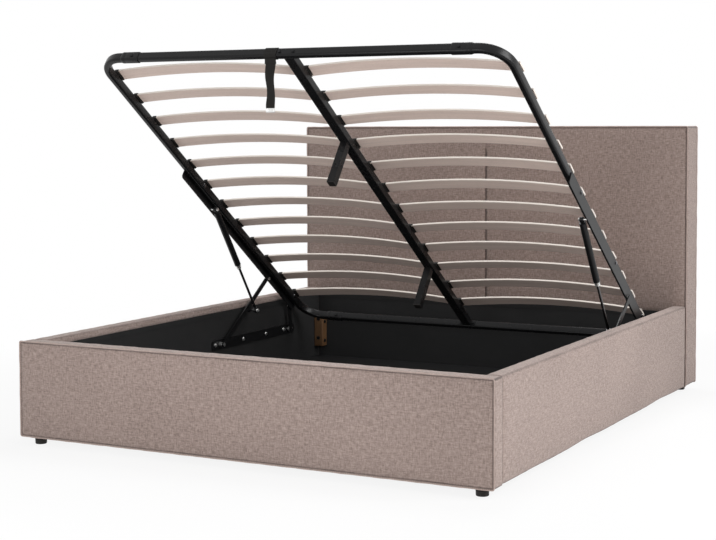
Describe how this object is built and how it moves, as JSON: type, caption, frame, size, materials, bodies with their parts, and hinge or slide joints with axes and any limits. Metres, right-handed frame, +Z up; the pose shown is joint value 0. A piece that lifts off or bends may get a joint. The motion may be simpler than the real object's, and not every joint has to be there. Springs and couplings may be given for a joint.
{
  "type": "lift-up storage bed",
  "caption": "Upholstered double bed whose sprung-slat base lifts on linked arms and gas struts over a storage box, with a tall padded headboard.",
  "frame": {"origin": "on the floor, in the middle of the bed's footprint", "axes": "+X across the bed to the right seen from the foot, +Y from the foot to the head, +Z up"},
  "size_m": [1.9, 2.31, 1.457],
  "materials": {
    "upholstery": "taupe heathered weave over padding",
    "board": "raw particle board",
    "lining": "thin black non-woven cloth",
    "floor": "black-faced hardboard",
    "timber": "planed brown hardwood",
    "black_plastic": "moulded black plastic",
    "black_tube": "satin black powder coat",
    "lift_steel": "black powder coat",
    "zinc": "zinc plated",
    "dark_rod": "dark polished rod",
    "birch": "bowed laminated birch, pale pinkish",
    "webbing": "black woven webbing"
  },
  "bodies": {
    "bed_box": {"headboard_case": "board", "headboard_cover": "upholstery", "headboard_back_cloth": "lining", "foot_panel_core": "board", "foot_panel_cover": "upholstery", "left_panel_core": "board", "left_panel_cover": "upholstery", "right_panel_core": "board", "right_panel_cover": "upholstery", "box_linings": "lining", "floor_battens": "timber", "floor_boards": "floor", "feet": "black_plastic", "corner_blocks": "timber", "corner_bolts": "lift_steel", "left_base_rail": "lift_steel", "right_base_rail": "lift_steel", "base_rail_bolts": "zinc", "front_base_pivots": "zinc"},
    "lift_base": {"left_side_tube": "black_tube", "right_side_tube": "black_tube", "foot_tube": "black_tube", "head_tube": "black_tube", "centre_tube": "black_tube", "frame_bolts": "black_tube", "left_top_rail": "lift_steel", "right_top_rail": "lift_steel", "top_rail_bolts": "zinc", "rear_link_pivots": "zinc", "strut_studs": "zinc", "left_slats": "birch", "right_slats": "birch", "left_slat_holders": "black_plastic", "right_slat_holders": "black_plastic", "centre_slat_holders": "black_plastic", "centre_legs": "black_tube", "leg_caps": "black_plastic", "strap_loop": "webbing"},
    "strap": {"pull_strap": "webbing", "strap_clip": "zinc"},
    "left_front_arm": {"left_front_link": "lift_steel", "left_front_link_pin": "zinc"},
    "left_rear_arm": {"left_rear_link": "lift_steel", "left_rear_link_pin": "zinc"},
    "left_barrel": {"left_strut_barrel": "lift_steel"},
    "left_rod": {"left_strut_rod": "dark_rod"},
    "right_front_arm": {"right_front_link": "lift_steel", "right_front_link_pin": "zinc"},
    "right_rear_arm": {"right_rear_link": "lift_steel", "right_rear_link_pin": "zinc"},
    "right_barrel": {"right_strut_barrel": "lift_steel"},
    "right_rod": {"right_strut_rod": "dark_rod"}
  },
  "joints": [
    {"name": "left_front_arm_hinge", "type": "hinge", "parent": "bed_box", "child": "left_front_arm", "pos_m": [-0.8625, 0.10106, 0.215], "axis": [1, 0, 0], "range_deg": [-34.61, 0]},
    {"name": "lift_base_hinge", "type": "hinge", "parent": "left_front_arm", "child": "lift_base", "pos_m": [0, 0.46945, 0.47343], "axis": [1, 0, 0], "range_deg": [0, 70.62]},
    {"name": "right_front_arm_hinge", "type": "hinge", "parent": "bed_box", "child": "right_front_arm", "pos_m": [0.8625, 0.10106, 0.215], "axis": [1, 0, 0], "range_deg": [-34.62, 0]},
    {"name": "strap_hinge", "type": "hinge", "parent": "lift_base", "child": "strap", "pos_m": [-0.0645, -0.81316, 1.41569], "axis": [1, 0, 0], "range_deg": [-9.01, 0]},
    {"name": "left_rear_arm_hinge", "type": "hinge", "parent": "lift_base", "child": "left_rear_arm", "pos_m": [-0.8625, 0.67009, 0.32766], "axis": [1, 0, 0], "range_deg": [-132, 0]},
    {"name": "left_barrel_hinge", "type": "hinge", "parent": "lift_base", "child": "left_barrel", "pos_m": [-0.827, -0.00941, 0.8164], "axis": [1, 0, 0], "range_deg": [0, 16.98]},
    {"name": "left_rod_slide", "type": "slide", "parent": "left_barrel", "child": "left_rod", "axis": [0, 0.5701, -0.8216], "range_m": [-0.18236, 0], "stiffness_N_per_m": 650, "springref_m": 1},
    {"name": "right_rear_arm_hinge", "type": "hinge", "parent": "lift_base", "child": "right_rear_arm", "pos_m": [0.8625, 0.67009, 0.32766], "axis": [1, 0, 0], "range_deg": [-132, 0]},
    {"name": "right_barrel_hinge", "type": "hinge", "parent": "lift_base", "child": "right_barrel", "pos_m": [0.827, -0.00941, 0.8164], "axis": [1, 0, 0], "range_deg": [0, 16.98]},
    {"name": "right_rod_slide", "type": "slide", "parent": "right_barrel", "child": "right_rod", "axis": [0, 0.5701, -0.8216], "range_m": [-0.18236, 0], "stiffness_N_per_m": 650, "springref_m": 1}
  ],
  "couplings": [
    {"joint": "lift_base_hinge", "follows": "left_front_arm_hinge", "ratio": -2.0402},
    {"joint": "right_front_arm_hinge", "follows": "left_front_arm_hinge", "ratio": 1},
    {"joint": "strap_hinge", "follows": "left_front_arm_hinge", "ratio": 0.26004},
    {"joint": "left_rear_arm_hinge", "follows": "left_front_arm_hinge", "ratio": 3.8138},
    {"joint": "left_barrel_hinge", "follows": "left_front_arm_hinge", "ratio": -0.49036},
    {"joint": "left_rod_slide", "follows": "left_front_arm_hinge", "m_per_rad": 0.30185},
    {"joint": "right_rear_arm_hinge", "follows": "left_front_arm_hinge", "ratio": 3.8138},
    {"joint": "right_barrel_hinge", "follows": "left_front_arm_hinge", "ratio": -0.49036},
    {"joint": "right_rod_slide", "follows": "left_front_arm_hinge", "m_per_rad": 0.30185}
  ]
}
